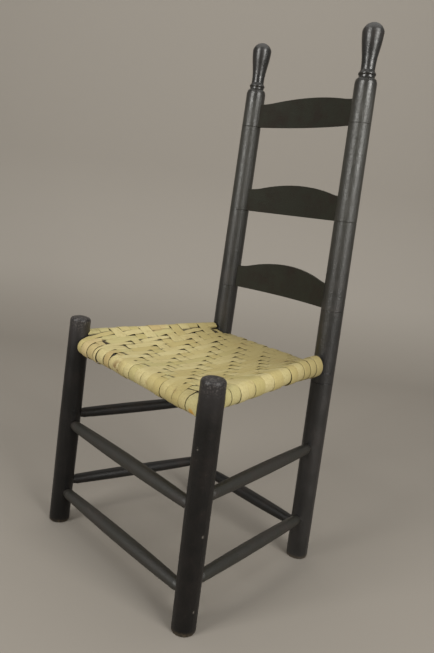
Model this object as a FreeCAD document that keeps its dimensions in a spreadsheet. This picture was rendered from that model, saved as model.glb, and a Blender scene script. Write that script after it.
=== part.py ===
# Ladderback chair with turned posts, three bent slats and a woven splint seat
# Millimetres. The chair faces -Y and stands on Z = 0, and +X is the sitter's left.
import FreeCAD, Part
import math
import os
import re

import Sketcher
from FreeCAD import Placement, Rotation, Vector

# Driving sizes: alias, value, what it is
SIZES = (
    ("seat_rail_height", 397.5, "side seat rails at the front posts"),
    ("side_rail_climb", 16.5, "how far the side seat rails climb towards the back"),
    ("front_rail_drop", 11.5, "from the side seat rails down to the front one, right post"),
    ("front_rail_tilt", 6.5, "how much lower the front seat rail is at the left post"),
    ("back_rail_drop", 23, "from the side seat rails down to the back one"),
    ("front_post_stand", 40, "left front post above the side seat rail"),
    ("front_post_extra", 5, "how much taller the right front post is"),
    ("left_back_height", 1044, "left back post, foot to the tip of its finial"),
    ("back_post_shortfall", 2, "how much shorter the right back post is"),
    ("front_foot_spread", 415.5, "between the front post axes at the floor"),
    ("front_splay", 3.5, "how much further apart the front post axes are at their tops"),
    ("back_foot_spread", 315.5, "between the back post axes at the floor"),
    ("back_closing", 30, "how much closer the back post axes are at their tips"),
    ("post_depth", 348, "from the front post axes to the back post axes at the floor"),
    ("front_foot_skew", 4.7, "how far the left front foot stands back and the right one forward"),
    ("back_foot_skew", 2, "how far the left back foot stands back and the right one forward"),
    ("left_front_rake", -3, "how far the left front post leans back over its height"),
    ("right_front_rake", 14.8, "how far the right front post leans back over its height"),
    ("left_back_rake", -1.5, "how far the left back post leans back over its height"),
    ("right_back_rake", 10.7, "how far the right back post leans back over its height"),
    ("front_post_radius", 20.8, "front posts near the foot"),
    ("front_top_radius", 20.5, "front posts below the rounded top"),
    ("back_post_radius", 21.5, "back posts near the foot"),
    ("back_top_radius", 20.3, "back posts below the shoulder"),
    ("front_belly_radius", 21.4, "front posts half way up"),
    ("back_belly_radius", 22.1, "back posts half way up their shafts"),
    ("foot_rounding", 5, "rounded edge of a foot"),
    ("foot_trim", 1.5, "wood below the floor line that is cut off level"),
    ("top_rounding", 7.5, "rounded edge of a front post's top"),
    ("top_crown", 2.6, "how far the front post's top is domed"),
    ("finial_length", 85.5, "finial above its ring"),
    ("finial_waist", 12.9, "radius of the finial just above its ring"),
    ("finial_waist_rise", 4, "from the ring up to the waist"),
    ("finial_neck_radius", 15.9, "radius of the finial half way up its neck"),
    ("finial_neck_rise", 37, "from the ring up to the middle of the neck"),
    ("finial_hollow", 164, "radius of the neck's hollow curve"),
    ("finial_flare", 235, "radius of the curve from the neck to the widest part"),
    ("finial_radius", 19.8, "widest part of the finial"),
    ("finial_radius_drop", 17.5, "from the tip down to the widest part"),
    ("finial_turn", 13, "radius of the curve over the widest part"),
    ("finial_crown_radius", 18.8, "radius where the rounded tip starts"),
    ("finial_crown_drop", 12.4, "height of the rounded tip"),
    ("ring_radius", 16.2, "ring under the finial"),
    ("ring_height", 5.6, "height of the ring"),
    ("ring_bulge", 1.5, "how far the ring bulges"),
    ("cove_radius", 14.6, "radius at the bottom of the cove under the ring"),
    ("cove_height", 7, "from the shoulder up to the ring"),
    ("shoulder_radius", 18.4, "radius of the top edge of the shoulder"),
    ("shoulder_height", 11, "height of the rounded shoulder"),
    ("scribe_depth", 0.7, "depth of a scribed line"),
    ("scribe_gap", 5, "from the shoulder's edge down to the first scribed line"),
    ("seat_scribe_drop", 15, "from the back seat rail down to a scribed line"),
    ("seat_scribe_rise", 7, "from the back seat rail up to a scribed line"),
    ("stretcher_tenon_radius", 8.5, "tenons of the stretchers"),
    ("stretcher_tenon_depth", 15, "how deep a stretcher sits in a post"),
    ("stretcher_end_radius", 10.4, "stretchers near the posts"),
    ("stretcher_taper", 9, "length of the taper beside a post"),
    ("front_stretcher_swell", 2.6, "how much thicker a front stretcher is in its middle"),
    ("side_stretcher_swell", 1.6, "how much thicker a side stretcher is in its middle"),
    ("rear_stretcher_swell", 2.8, "how much thicker the rear stretcher is in its middle"),
    ("front_upper_height", 216, "front upper stretcher"),
    ("front_lower_height", 67, "front lower stretcher"),
    ("side_upper_step", 18, "from the front upper stretcher up to the side ones"),
    ("side_upper_climb", 6, "how far the side upper stretchers climb towards the back"),
    ("side_lower_step", 18.5, "from the front lower stretcher up to the side ones"),
    ("rear_drop", 22, "from the side lower stretchers down to the rear one"),
    ("rail_tenon_radius", 7.5, "tenons of the seat rails"),
    ("rail_tenon_depth", 13, "how deep a seat rail sits in a post"),
    ("rail_end_radius", 12, "seat rails near the posts"),
    ("rail_swell", 2, "how much thicker a seat rail is in its middle"),
    ("tenon_clearance", 0.25, "between a tenon and its mortise"),
    ("slat_thickness", 7, "thickness of a slat"),
    ("slat_bow", 20, "how far the middle of a slat bends back"),
    ("slat_tenon_depth", 15, "how deep a slat sits in a post"),
    ("slat_end_height", 47, "height of a slat at the posts"),
    ("slat_arch_share", 0.74, "share of the half span that the arch takes, the rest is the ogee"),
    ("top_slat_share", 0.72854, "lower edge of the top slat, as a share of the way up the back"),
    ("middle_slat_share", 0.45197, "lower edge of the middle slat, as the same share"),
    ("bottom_slat_share", 0.18855, "lower edge of the bottom slat, as the same share"),
    ("top_slat_rise", 10.5, "how far the top slat's upper edge rises to its middle"),
    ("middle_slat_rise", 15, "how far the middle slat's upper edge rises to its middle"),
    ("bottom_slat_rise", 19, "how far the bottom slat's upper edge rises to its middle"),
    ("weave_thickness", 1.8, "thickness of one layer of woven splint"),
    ("weave_clearance", 0.25, "between the splint and what it lies on"),
    ("weave_end_gap", 1, "between the splint and a post beside it"),
    ("warp_slack", 2.6, "how far the warp hangs below the weft beside the side rails"),
    ("seat_top_sag", 8, "how far the top of the seat sinks below the front and back rails"),
    ("seat_bottom_rise", 5, "how far the underside of the seat rises above those rails' undersides"),
)

# Sizes worked out from the driving ones: alias, expression, what it is
DERIVED = (
    ("front_rail_right_height", "seat_rail_height - front_rail_drop", "front rail, right post"),
    ("front_rail_left_height", "front_rail_right_height - front_rail_tilt",
     "front rail, left post"),
    ("side_rail_back_height", "seat_rail_height + side_rail_climb", "side rails, back posts"),
    ("back_rail_height", "side_rail_back_height - back_rail_drop", "back rail"),
    ("left_front_height", "seat_rail_height + front_post_stand", "left front post"),
    ("right_front_height", "left_front_height + front_post_extra", "right front post"),
    ("right_back_height", "left_back_height - back_post_shortfall", "right back post"),
    ("front_top_spread", "front_foot_spread + front_splay", "between the front posts' tops"),
    ("back_top_spread", "back_foot_spread - back_closing", "between the back posts' tips"),
    ("side_upper_front_height", "front_upper_height + side_upper_step",
     "side upper stretchers, front posts"),
    ("side_upper_back_height", "side_upper_front_height + side_upper_climb",
     "side upper stretchers, back posts"),
    ("side_lower_height", "front_lower_height + side_lower_step", "side lower stretchers"),
    ("rear_height", "side_lower_height - rear_drop", "rear stretcher"),
    ("front_stretcher_radius", "stretcher_end_radius + front_stretcher_swell",
     "middle of the front stretchers"),
    ("side_stretcher_radius", "stretcher_end_radius + side_stretcher_swell",
     "middle of the side stretchers"),
    ("rear_stretcher_radius", "stretcher_end_radius + rear_stretcher_swell",
     "middle of the rear stretcher"),
    ("rail_radius", "rail_end_radius + rail_swell", "middle of the seat rails"),
    ("back_reach", "left_back_height - seat_rail_height", "from the seat rails up to the tip"),
    ("top_slat_height", "seat_rail_height + back_reach * top_slat_share", "top slat"),
    ("middle_slat_height", "seat_rail_height + back_reach * middle_slat_share", "middle slat"),
    ("bottom_slat_height", "seat_rail_height + back_reach * bottom_slat_share", "bottom slat"),
)

# Posts: node name, side of the chair (+1 is the sitter's left), row
POSTS = (
    ("front_post_left", 1, "front"),
    ("front_post_right", -1, "front"),
    ("back_post_left", 1, "back"),
    ("back_post_right", -1, "back"),
)

# Round rails: node, first post, second post, heights at both posts, middle radius, kind
RUNGS = (
    ("front_upper_stretcher", "front_post_right", "front_post_left",
     "front_upper_height", "front_upper_height", "front_stretcher_radius", "stretcher"),
    ("front_lower_stretcher", "front_post_right", "front_post_left",
     "front_lower_height", "front_lower_height", "front_stretcher_radius", "stretcher"),
    ("left_upper_stretcher", "front_post_left", "back_post_left",
     "side_upper_front_height", "side_upper_back_height", "side_stretcher_radius", "stretcher"),
    ("right_upper_stretcher", "front_post_right", "back_post_right",
     "side_upper_front_height", "side_upper_back_height", "side_stretcher_radius", "stretcher"),
    ("left_lower_stretcher", "front_post_left", "back_post_left",
     "side_lower_height", "side_lower_height", "side_stretcher_radius", "stretcher"),
    ("right_lower_stretcher", "front_post_right", "back_post_right",
     "side_lower_height", "side_lower_height", "side_stretcher_radius", "stretcher"),
    ("rear_stretcher", "back_post_right", "back_post_left",
     "rear_height", "rear_height", "rear_stretcher_radius", "stretcher"),
    ("front_seat_rail", "front_post_right", "front_post_left",
     "front_rail_right_height", "front_rail_left_height", "rail_radius", "rail"),
    ("back_seat_rail", "back_post_right", "back_post_left",
     "back_rail_height", "back_rail_height", "rail_radius", "rail"),
    ("left_seat_rail", "front_post_left", "back_post_left",
     "seat_rail_height", "side_rail_back_height", "rail_radius", "rail"),
    ("right_seat_rail", "front_post_right", "back_post_right",
     "seat_rail_height", "side_rail_back_height", "rail_radius", "rail"),
)

# Slats: node, height of the lower edge, rise of the upper edge from its ends to its middle
SLATS = (
    ("top_slat", "top_slat_height", "top_slat_rise"),
    ("middle_slat", "middle_slat_height", "middle_slat_rise"),
    ("bottom_slat", "bottom_slat_height", "bottom_slat_rise"),
)

SECTION_COUNT = 7
LAY_OFF_STEPS = 12
ORIGIN_POINT = (-1, 1)
HORIZONTAL_AXIS_INDEX = -1
VERTICAL_AXIS_INDEX = -2
START_INDEX, END_INDEX = 1, 2

document = FreeCAD.newDocument("ladderback_chair")
sheet = document.addObject("Spreadsheet::Sheet", "sizes")
for row, (alias, content, note) in enumerate(SIZES + DERIVED, start=1):
    sheet.set(f"A{row}", f"={content}")
    sheet.setAlias(f"A{row}", alias)
    sheet.set(f"B{row}", note)
document.recompute()


def size(alias):
    return float(getattr(sheet, alias))


def value(expression):
    """The number that an expression over the sheet's aliases has now"""
    return float(sheet.evalExpression(expression))


def bound(expression):
    """The same expression as an object outside the sheet writes it"""
    return re.sub(r"[a-z]\w+", lambda alias: f"sizes.{alias[0]}", expression)


def origin_plane(body, role):
    return next(item for item in body.Origin.OriginFeatures if item.Role == role)


def outline(body, name, plane, corners, radii):
    """A closed sketch through corners given as pairs of expressions.

    radii maps the index of a side to the radius of its arc, positive where the arc bulges
    to the right of the way round, and sides without one are straight.
    """
    sketch = body.newObject("Sketcher::SketchObject", name)
    sketch.AttachmentSupport = [(origin_plane(body, plane), "")]
    sketch.MapMode = "FlatFace"
    points = [Vector(value(across), value(up), 0) for across, up in corners]
    count = len(points)
    for side in range(count):
        here, there = points[side], points[(side + 1) % count]
        if side in radii:
            sketch.addGeometry(bulging_arc(here, there, value(radii[side][0]), radii[side][1]))
        else:
            sketch.addGeometry(Part.LineSegment(here, there))
    first_ends = [end_markers(radii, side) for side in range(count)]
    for side in range(count):
        after = (side + 1) % count
        sketch.addConstraint(Sketcher.Constraint(
            "Coincident", side, first_ends[side][1], after, first_ends[after][0]))
    for side, (across, up) in enumerate(corners):
        place_corner(sketch, side, first_ends[side][0], across, up, points[side])
    for side, (radius, _) in radii.items():
        index = sketch.addConstraint(Sketcher.Constraint("Radius", side, value(radius)))
        sketch.setExpression(f"Constraints[{index}]", bound(radius))
    return sketch


def end_markers(radii, side):
    """Which end of a side comes first: an arc that bulges left is stored backwards"""
    if side in radii and radii[side][1] == "left":
        return END_INDEX, START_INDEX
    return START_INDEX, END_INDEX


def bulging_arc(here, there, radius, direction):
    """Arc from here to there that bulges left or right of the way between them"""
    chord = there - here
    half = chord.Length / 2
    rise = radius - math.sqrt(radius * radius - half * half)
    left = Vector(-chord.y, chord.x, 0).normalize()
    middle = (here + there) * 0.5 + left * (rise if direction == "left" else -rise)
    return Part.Arc(here, middle, there)


def place_corner(sketch, side, end, across, up, point):
    """Tie a corner to the sketch's origin by its two expressions"""
    for kind, expression, distance, axis in (
            ("DistanceX", across, point.x, VERTICAL_AXIS_INDEX),
            ("DistanceY", up, point.y, HORIZONTAL_AXIS_INDEX)):
        if expression == "0":
            sketch.addConstraint(Sketcher.Constraint("PointOnObject", side, end, axis))
            continue
        index = sketch.addConstraint(Sketcher.Constraint(
            kind, ORIGIN_POINT[0], ORIGIN_POINT[1], side, end, distance))
        sketch.setExpression(f"Constraints[{index}]", bound(expression))


def swell_radius(length, rise):
    """Expression for the radius of an arc with a given length of chord and rise"""
    return f"(({length}) ^ 2 / 4 + ({rise}) ^ 2) / (2 * ({rise}))"


def turned_body(name, corners, radii):
    """A body turned about its own Z axis from half of its outline"""
    body = document.addObject("PartDesign::Body", name)
    profile = outline(body, name + "_profile", "XZ_Plane", corners, radii)
    turning = body.newObject("PartDesign::Revolution", name + "_turning")
    turning.Profile = profile
    turning.ReferenceAxis = (profile, ["V_Axis"])
    turning.Angle = 360
    profile.Visibility = False
    return body


# Places of the posts

def post_axis(post):
    """Foot and top of a post's axis, and its height"""
    _, side, row = next(entry for entry in POSTS if entry[0] == post)
    hand = "left" if side > 0 else "right"
    depth = size("post_depth") if row == "back" else 0.0
    height = size(f"{hand}_{row}_height")
    foot_y = depth + side * size(f"{row}_foot_skew")
    foot = Vector(side * size(f"{row}_foot_spread") / 2, foot_y, 0)
    top = Vector(side * size(f"{row}_top_spread") / 2, foot_y + size(f"{hand}_{row}_rake"), height)
    return foot, top, height


def axis_point(post, height):
    foot, top, full = post_axis(post)
    return foot + (top - foot) * (height / full)


def post_radius(post):
    return "front_post_radius" if post.startswith("front") else "back_post_radius"


# Posts

def front_post_profile(height):
    top = f"{height} + foot_trim"
    corners = (
        ("0", "0"),
        ("front_post_radius - foot_rounding", "0"),
        ("front_post_radius", "foot_rounding"),
        ("front_belly_radius", f"({top}) / 2"),
        ("front_top_radius", f"{top} - top_crown - top_rounding"),
        ("front_top_radius - top_rounding", f"{top} - top_crown"),
        ("0", top),
    )
    crown_half = "(front_top_radius - top_rounding)"
    crown = f"({crown_half} ^ 2 + top_crown ^ 2) / (2 * top_crown)"
    radii = {
        1: ("foot_rounding", "right"),
        4: ("top_rounding", "right"),
        5: (crown, "right"),
    }
    return corners, radii


def back_post_profile(height):
    tip = f"{height} + foot_trim"
    ring_top = f"{tip} - finial_length"
    ring_bottom = f"{ring_top} - ring_height"
    shoulder = f"{ring_bottom} - cove_height"
    corners = (
        ("0", "0"),
        ("back_post_radius - foot_rounding", "0"),
        ("back_post_radius", "foot_rounding"),
        ("back_belly_radius", f"({shoulder}) / 2"),
        ("back_top_radius", f"{shoulder} - shoulder_height"),
        ("shoulder_radius", shoulder),
        ("cove_radius", f"{shoulder} + cove_height / 2"),
        ("ring_radius - ring_bulge", ring_bottom),
        ("ring_radius - ring_bulge", ring_top),
        ("finial_waist", f"{ring_top} + finial_waist_rise"),
        ("finial_neck_radius", f"{ring_top} + finial_neck_rise"),
        ("finial_radius", f"{tip} - finial_radius_drop"),
        ("finial_crown_radius", f"{tip} - finial_crown_drop"),
        ("0", tip),
    )
    crown = "(finial_crown_radius ^ 2 + finial_crown_drop ^ 2) / (2 * finial_crown_drop)"
    radii = {
        1: ("foot_rounding", "right"),
        4: ("shoulder_height * 2", "right"),
        7: (swell_radius("ring_height", "ring_bulge"), "right"),
        9: ("finial_hollow", "left"),
        10: ("finial_flare", "right"),
        11: ("finial_turn", "right"),
        12: (crown, "right"),
    }
    return corners, radii


def lean(foot, top):
    return Rotation(Vector(0, 0, 1), top - foot)


def build_post(post, side, row):
    hand = "left" if side > 0 else "right"
    height = f"{hand}_{row}_height"
    profile = front_post_profile if row == "front" else back_post_profile
    body = turned_body(post + "_turning", *profile(height))
    foot, top, _ = post_axis(post)
    turn = lean(foot, top)
    body.Placement = Placement(foot - turn.multVec(Vector(0, 0, size("foot_trim"))), turn)
    cutters = [floor_cutter(post, foot)] + mortise_cutters(post)
    if row == "back":
        cutters += scribe_cutters(post, foot, top)
    tools = document.addObject("Part::MultiFuse", post + "_cuts")
    tools.Shapes = cutters
    cut = document.addObject("Part::Cut", post)
    cut.Label = post
    cut.Base = body
    cut.Tool = tools
    return cut


def floor_cutter(post, foot):
    """Block under the floor that trims a leaning foot level"""
    block = document.addObject("Part::Box", post + "_floor")
    block.setExpression("Length", bound("back_post_radius * 3"))
    block.setExpression("Width", bound("back_post_radius * 3"))
    block.setExpression("Height", bound("foot_trim * 4"))
    reach = size("back_post_radius") * 1.5
    block.Placement = Placement(foot - Vector(reach, reach, size("foot_trim") * 4), Rotation())
    return block


def scribe_cutters(post, foot, top):
    """Rings that leave a shallow scribed line round a back post"""
    hand = "left" if post.endswith("left") else "right"
    shoulder = value(f"{hand}_back_height - finial_length - ring_height - cove_height")
    heights = [
        (shoulder - size("scribe_gap"), (size("shoulder_radius") + size("back_top_radius")) / 2),
        (value("back_rail_height - seat_scribe_drop"), None),
        (value("back_rail_height + seat_scribe_rise"), None),
    ]
    for _, lower_edge, _ in SLATS:
        heights.append((size(lower_edge), None))
    rings = []
    for number, (height, radius) in enumerate(heights):
        ring = document.addObject("Part::Torus", f"{post}_scribe_{number}")
        ring.Radius1 = radius if radius else shaft_radius(post, height)
        ring.setExpression("Radius2", bound("scribe_depth"))
        point = foot + (top - foot) * (height / top.z)
        ring.Placement = Placement(point, lean(foot, top))
        rings.append(ring)
    return rings


def shaft_radius(post, height):
    """Radius of a back post's swelling shaft at a height above the floor"""
    hand = "left" if post.endswith("left") else "right"
    trim, low = size("foot_trim"), size("foot_rounding")
    shoulder = value(f"{hand}_back_height + foot_trim - finial_length - ring_height - cove_height")
    belly = (shoulder / 2, size("back_belly_radius"))
    foot = (low, size("back_post_radius"))
    top = (shoulder - size("shoulder_height"), size("back_top_radius"))
    along = height + trim
    first, second = (foot, belly) if along < belly[0] else (belly, top)
    return first[1] + (second[1] - first[1]) * (along - first[0]) / (second[0] - first[0])


# Stretchers and seat rails

def rung_ends(rung):
    """Points on both post axes, and the direction from the first to the second"""
    _, first, second, first_height, second_height, _, _ = rung
    start = axis_point(first, size(first_height))
    finish = axis_point(second, size(second_height))
    return start, finish, (finish - start).normalize()


def build_rung(rung):
    node, first, second, _, _, middle, kind = rung
    start, finish, direction = rung_ends(rung)
    span = f"{(finish - start).Length:.6f}"
    tenon, depth, end = f"{kind}_tenon_radius", f"{kind}_tenon_depth", f"{kind}_end_radius"
    near, far = post_radius(first), post_radius(second)
    corners = (
        ("0", f"{near} - {depth}"),
        (tenon, f"{near} - {depth}"),
        (tenon, near),
        (end, f"{near} + stretcher_taper"),
        (end, f"{span} - {far} - stretcher_taper"),
        (tenon, f"{span} - {far}"),
        (tenon, f"{span} - {far} + {depth}"),
        ("0", f"{span} - {far} + {depth}"),
    )
    length = f"({span} - {near} - {far} - 2 * stretcher_taper)"
    radii = {3: (swell_radius(length, f"({middle} - {end})"), "right")}
    body = turned_body(node, corners, radii)
    body.Label = node
    body.Placement = Placement(start, Rotation(Vector(0, 0, 1), direction))
    return body


def mortise_cutters(post):
    cutters = []
    for rung in RUNGS:
        node, first, second, _, _, _, kind = rung
        if post not in (first, second):
            continue
        start, finish, direction = rung_ends(rung)
        centre, inward = (start, direction) if post == first else (finish, direction * -1)
        bore = document.addObject("Part::Cylinder", f"{post}_{node}_mortise")
        bore.setExpression("Radius", bound(f"{kind}_tenon_radius + tenon_clearance"))
        bore.setExpression("Height", bound(f"{kind}_tenon_depth * 2"))
        bottom = value(f"{post_radius(post)} - {kind}_tenon_depth - tenon_clearance")
        bore.Placement = Placement(centre + inward * bottom, Rotation(Vector(0, 0, 1), inward))
        cutters.append(bore)
    if post.startswith("back"):
        cutters += [slat_board(slat, "tenon_clearance") for slat in SLATS]
    return cutters


# Slats

def slat_frame(lower_edge):
    """Placement of a slat on the line between the back posts, and its span between their axes"""
    right = axis_point("back_post_right", size(lower_edge))
    left = axis_point("back_post_left", size(lower_edge))
    across = (left - right).normalize()
    back = Vector(0, 0, 1).cross(across).normalize()
    turn = Rotation(across, back, Vector(0, 0, 1), "ZXY")
    return Placement((left + right) * 0.5, turn), (left - right).Length


def slat_board(slat, clearance="0"):
    """Bent board of even height, and with a clearance the mortise that takes its ends"""
    node, lower_edge, rise = slat
    place, span = slat_frame(lower_edge)
    fitted = clearance != "0"
    name = f"{node}_mortise" if fitted else node
    half = f"({span:.6f} / 2 - back_top_radius + slat_tenon_depth + {clearance})"
    face = f"(slat_thickness / 2 + {clearance})"
    body = document.addObject("PartDesign::Body", name)
    corners = (
        (f"0 - {half}", f"0 - {face}"),
        (half, f"0 - {face}"),
        (half, face),
        (f"0 - {half}", face),
    )
    bend = swell_radius(f"2 * {half}", "slat_bow")
    plan = outline(body, name + "_plan", "XY_Plane", corners, {0: (bend, "left"), 2: (bend, "right")})
    board = body.newObject("PartDesign::Pad", name + "_board")
    board.Profile = plan
    extra = f"2 * {clearance}" if fitted else rise
    board.setExpression("Length", bound(f"slat_end_height + {extra}"))
    plan.Visibility = False
    body.Placement = place.multiply(Placement(Vector(0, 0, -value(clearance)), Rotation()))
    return body


def build_slat(slat):
    """A slat is the bent board with its upper edge cut to an arch with ogee ends"""
    node, lower_edge, rise = slat
    body = slat_board(slat)
    body.Label = node
    _, span = slat_frame(lower_edge)
    half = f"({span:.6f} / 2 - back_top_radius)"
    middle = f"(slat_end_height + {rise})"
    arch = f"({half} ^ 2 + {rise} ^ 2) / (2 * {rise})"
    over = f"({half} + slat_tenon_depth * 2)"
    corners = (
        (f"0 - {over}", "slat_end_height"),
        (f"0 - {half}", "slat_end_height"),
        (f"0 - {half} * slat_arch_share", f"{middle} - {rise} * slat_arch_share"),
        (f"{half} * slat_arch_share", f"{middle} - {rise} * slat_arch_share"),
        (half, "slat_end_height"),
        (over, "slat_end_height"),
        (over, f"{middle} * 2"),
        (f"0 - {over}", f"{middle} * 2"),
    )
    radii = {
        1: (f"{arch} * (1 - slat_arch_share)", "right"),
        2: (f"{arch} * slat_arch_share", "left"),
        3: (f"{arch} * (1 - slat_arch_share)", "right"),
    }
    waste = outline(body, node + "_waste", "XZ_Plane", corners, radii)
    trimming = body.newObject("PartDesign::Pocket", node + "_trimming")
    trimming.Profile = waste
    trimming.Type = "ThroughAll"
    trimming.SideType = "Symmetric"
    waste.Visibility = False
    return body


# Woven seat: two belts, one round the front and back rails and one round the side rails

def lay_off(start, finish, radius, middle, up):
    """Directions in which a strip leaves two rails, so that it lies smoothly on both

    The strip runs in a shallow arc from rail to rail through a middle height, over them where
    up points up and under them where it points down.
    """
    along = level_direction(start, finish)
    first, second = up, up
    for _ in range(LAY_OFF_STEPS):
        here, there = start + first * radius, finish + second * radius
        chord = (there - here).dot(along)
        tilt = math.atan2((there - here).dot(up), chord)
        sag = ((here + there) * 0.5).dot(up) - middle * up.z
        bend = 2 * math.atan2(2 * sag, chord)
        first = up * math.cos(bend - tilt) + along * math.sin(bend - tilt)
        second = up * math.cos(bend + tilt) - along * math.sin(bend + tilt)
    return first, second


def level_direction(start, finish):
    return Vector(finish.x - start.x, finish.y - start.y, 0).normalize()


def wrap_arc(centre, radius, first, second):
    """Arc round a rail from one direction to another, the shorter way"""
    middle = (first + second).normalize()
    return Part.Arc(centre + first * radius, centre + middle * radius,
                    centre + second * radius).toShape()


def belt_section(start, finish, radius, top_middle, bottom_middle):
    """Closed wire round two rails: two arcs round each and shallow arcs between them"""
    along = level_direction(start, finish)
    up = Vector(0, 0, 1)
    centre = (start + finish) * 0.5
    top_start, top_finish = lay_off(start, finish, radius, top_middle, up)
    low_start, low_finish = lay_off(start, finish, radius, bottom_middle, up * -1)
    edges = [
        Part.Arc(start + top_start * radius, Vector(centre.x, centre.y, top_middle),
                 finish + top_finish * radius).toShape(),
        wrap_arc(finish, radius, top_finish, along),
        wrap_arc(finish, radius, along, low_finish),
        Part.Arc(finish + low_finish * radius, Vector(centre.x, centre.y, bottom_middle),
                 start + low_start * radius).toShape(),
        wrap_arc(start, radius, low_start, along * -1),
        wrap_arc(start, radius, along * -1, top_start),
    ]
    return Part.Wire(edges)


def belt(sections, thickness):
    """Solid between the outer and inner wires that a list of sections describes"""
    outer = Part.makeLoft([belt_section(*section) for section in sections], True, False)
    inner_wires = []
    for start, finish, radius, top_middle, bottom_middle in sections:
        inner_wires.append(belt_section(start, finish, radius - thickness,
                                        top_middle - thickness, bottom_middle + thickness))
    return outer.cut(Part.makeLoft(inner_wires, True, False))


def rung_by_name(node):
    return next(rung for rung in RUNGS if rung[0] == node)


def point_on_rung(node, share):
    start, finish, _ = rung_ends(rung_by_name(node))
    return start + (finish - start) * share


def gap_share(node, radius):
    """Share of a seat rail that a post and the gap beside it take at one end"""
    start, finish, _ = rung_ends(rung_by_name(node))
    return (size(radius) + size("weave_end_gap")) / (finish - start).Length


def sagging(edge_start, edge_finish, middle, share):
    """Height along a strip that sags from its two edges to a middle"""
    straight = edge_start + (edge_finish - edge_start) * share
    sag = (edge_start + edge_finish) / 2 - middle
    return straight - sag * 4 * share * (1 - share)


def seat_heights():
    """Outer heights of the seat's middle, at the top and at the bottom"""
    radius = weave_radius()
    front = point_on_rung("front_seat_rail", 0.5).z
    back = point_on_rung("back_seat_rail", 0.5).z
    top = min(front, back) + radius - size("seat_top_sag")
    bottom = max(front, back) - radius + size("seat_bottom_rise")
    return front, back, top, bottom


def weave_radius():
    return size("rail_radius") + size("weave_clearance") + size("weave_thickness")


def build_weft():
    """Belt round the side rails, the upper layer of both faces of the seat"""
    radius = weave_radius()
    layer = size("weave_thickness") + size("weave_clearance")
    front, back, top, bottom = seat_heights()
    first = gap_share("left_seat_rail", "front_belly_radius")
    last = 1 - gap_share("left_seat_rail", "back_belly_radius")
    sections = []
    for step in range(SECTION_COUNT):
        share = first + (last - first) * step / (SECTION_COUNT - 1)
        top_middle = sagging(front + radius, back + radius, top, share) + layer
        bottom_middle = sagging(front - radius, back - radius, bottom, share) + layer
        sections.append((point_on_rung("right_seat_rail", share),
                         point_on_rung("left_seat_rail", share), radius, top_middle, bottom_middle))
    return belt(sections, size("weave_thickness"))


def build_warp():
    """Belt round the front and back rails, the lower layer of both faces of the seat"""
    radius = weave_radius()
    _, _, top, bottom = seat_heights()
    side_middle = (size("seat_rail_height") + size("side_rail_back_height")) / 2
    side_middle -= size("warp_slack")
    front_gap = gap_share("front_seat_rail", "front_belly_radius")
    back_gap = gap_share("back_seat_rail", "back_belly_radius")
    half_share = 1 - 2 * max(front_gap, back_gap)
    sections = []
    for step in range(SECTION_COUNT):
        lateral = 2 * step / (SECTION_COUNT - 1) - 1
        front_share = 0.5 + lateral * (0.5 - front_gap)
        back_share = 0.5 + lateral * (0.5 - back_gap)
        climb = (lateral * half_share) ** 2
        top_middle = top + (side_middle + radius - top) * climb
        bottom_middle = bottom + (side_middle - radius - bottom) * climb
        sections.append((point_on_rung("front_seat_rail", front_share),
                         point_on_rung("back_seat_rail", back_share), radius,
                         top_middle, bottom_middle))
    return belt(sections, size("weave_thickness"))


def shaped_node(node, shape):
    feature = document.addObject("Part::Feature", node)
    feature.Label = node
    feature.Shape = shape
    return feature


def centre_over_feet(nodes):
    """Move the whole chair so that its origin is the bottom centre of its box"""
    box = FreeCAD.BoundBox()
    for node in nodes:
        box.add(node.Shape.optimalBoundingBox(False, False))
    shift = Vector(-(box.XMin + box.XMax) / 2, -(box.YMin + box.YMax) / 2, 0)
    for node in nodes:
        node.Placement = Placement(shift, Rotation()).multiply(node.Placement)
    return shift


def check(nodes):
    """Stop before anything is written if an object or a piece has failed"""
    for item in document.Objects:
        if "Invalid" in item.State or "Error" in item.State:
            raise RuntimeError(f"{item.Name} failed to recompute")
    for node in nodes:
        if node.Shape.isNull() or not node.Shape.isValid() or len(node.Shape.Solids) != 1:
            raise RuntimeError(f"{node.Label} is not one valid solid")


nodes = [build_rung(rung) for rung in RUNGS]
nodes += [build_slat(slat) for slat in SLATS]
nodes += [build_post(*post) for post in POSTS]
nodes += [shaped_node("seat_weft", build_weft()), shaped_node("seat_warp", build_warp())]
document.recompute()
moved = centre_over_feet(nodes)
document.recompute()
check(nodes)
print(f"origin moved by {moved.x:.3f} {moved.y:.3f}")
os.makedirs("parts", exist_ok=True)
for node in nodes:
    node.Shape.exportStep(f"parts/{node.Label}.step")
    print(f"{node.Label}: {node.Shape.Volume / 1000:.1f} cm3")
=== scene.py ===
# Ladderback chair: finishes of the turned wood, and the woven splint of the seat
# Metres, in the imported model's frame: +X is the sitter's left, -Y the front, Z = 0 the floor.
import math
import random

import bpy
import numpy as np
from mathutils import Matrix, Vector


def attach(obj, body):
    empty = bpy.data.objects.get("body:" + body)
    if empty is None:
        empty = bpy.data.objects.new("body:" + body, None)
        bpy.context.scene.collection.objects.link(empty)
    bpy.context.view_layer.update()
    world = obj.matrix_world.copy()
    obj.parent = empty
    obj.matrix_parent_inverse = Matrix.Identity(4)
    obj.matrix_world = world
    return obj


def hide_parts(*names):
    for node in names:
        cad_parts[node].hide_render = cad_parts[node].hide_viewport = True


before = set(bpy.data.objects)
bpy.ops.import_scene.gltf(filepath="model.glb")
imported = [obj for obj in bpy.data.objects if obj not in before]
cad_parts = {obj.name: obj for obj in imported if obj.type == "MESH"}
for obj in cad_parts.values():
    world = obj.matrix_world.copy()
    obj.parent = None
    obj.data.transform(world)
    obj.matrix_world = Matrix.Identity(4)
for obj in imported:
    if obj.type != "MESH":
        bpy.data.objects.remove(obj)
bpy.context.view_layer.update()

MM = 0.001
rng = random.Random(11)

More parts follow.
